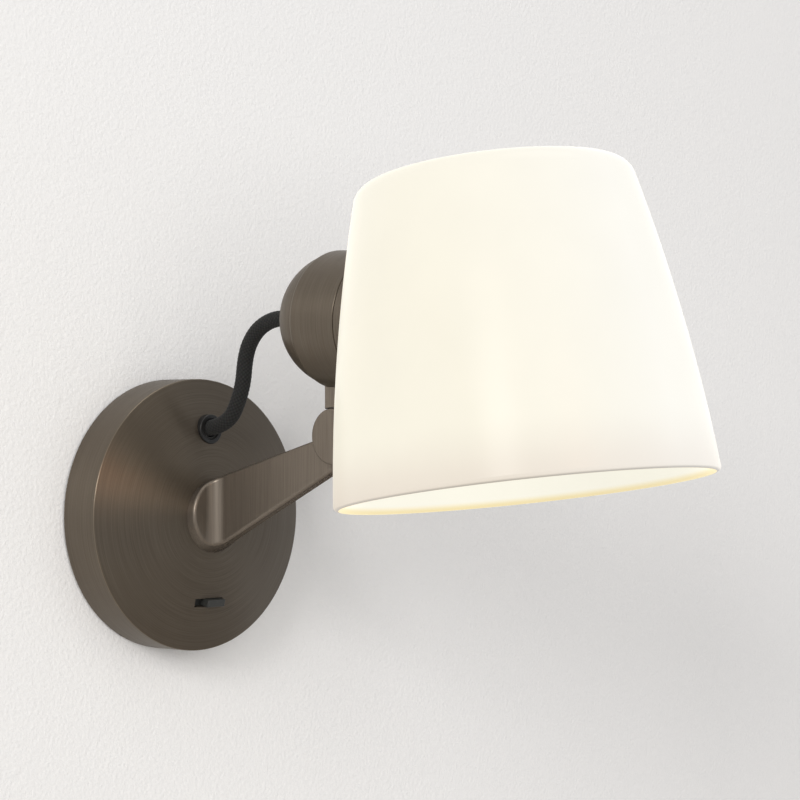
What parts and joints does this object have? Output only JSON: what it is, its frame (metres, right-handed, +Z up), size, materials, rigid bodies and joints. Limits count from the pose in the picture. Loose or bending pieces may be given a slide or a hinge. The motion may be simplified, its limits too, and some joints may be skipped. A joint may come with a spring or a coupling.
{
  "type": "adjustable wall lamp",
  "caption": "Wall lamp with a round domed back plate, a slide switch, a short arm with a friction hinge, a braided flex and a white glazed shade that tilts up and down.",
  "frame": {"origin": "on the wall at the centre of the wall bracket's back face", "axes": "+X right along the wall as seen from the room, +Y into the wall, +Z up"},
  "size_m": [0.1512, 0.2857, 0.2048],
  "materials": {
    "bronze": "brushed bronze finish under clear lacquer",
    "zinc_plated_steel": "zinc plated",
    "brass": "bare",
    "black_plastic": "moulded, fine matt",
    "insulating_ceramic": "unglazed",
    "rubber": "moulded",
    "braid": "braided textile",
    "wire_cover": "extruded",
    "glazed_shade": "white gloss glaze",
    "bulb_metal": "rolled",
    "bulb_plastic": "moulded",
    "bulb_opal": "opal"
  },
  "bodies": {
    "base": {"wall_bracket": "zinc_plated_steel", "wall_cover": "bronze", "cover_screws": "zinc_plated_steel", "terminal_block": "black_plastic", "terminal_clamp_screws": "brass", "terminal_fixing_screw": "zinc_plated_steel", "earth_stud": "brass", "earth_nut_and_washer": "brass", "cable_gland": "black_plastic", "gland_nut": "black_plastic", "gland_seal": "rubber", "flex_cord": "braid", "cord_cores": "wire_cover", "switch_body": "black_plastic", "switch_screws": "zinc_plated_steel", "switch_pins": "brass", "switch_leads": "wire_cover", "arm": "bronze", "arm_backing_plate": "zinc_plated_steel", "arm_screws": "zinc_plated_steel", "hinge_friction_washer": "rubber", "hinge_bolt": "zinc_plated_steel"},
    "switch_slider": {"switch_slider": "black_plastic"},
    "head": {"neck": "bronze", "neck_screws": "zinc_plated_steel", "hinge_bush": "brass", "hinge_spring_washer": "zinc_plated_steel", "hinge_cap": "bronze", "lamp_housing": "bronze", "cord_bush": "black_plastic", "holder_leads": "wire_cover", "shade_collar": "bronze", "collar_gasket": "rubber", "shade": "glazed_shade", "inner_saddle": "black_plastic", "shade_clamp_ring": "black_plastic", "lampholder_sleeve": "black_plastic", "lampholder_cap": "black_plastic", "lampholder_insert": "insulating_ceramic", "socket_shell": "brass", "centre_contact": "brass", "bulb_cap": "bulb_metal", "bulb_body": "bulb_plastic", "bulb_globe": "bulb_opal"}
  },
  "joints": [
    {"name": "head_tilt", "type": "hinge", "parent": "base", "child": "head", "pos_m": [0, -0.1103, 0.03475], "axis": [1, 0, 0], "range_deg": [-30, 10], "deforming": ["flex_cord"]},
    {"name": "switch_slide", "type": "slide", "parent": "base", "child": "switch_slider", "axis": [1, 0, 0], "range_m": [-0.0052, 0]}
  ]
}
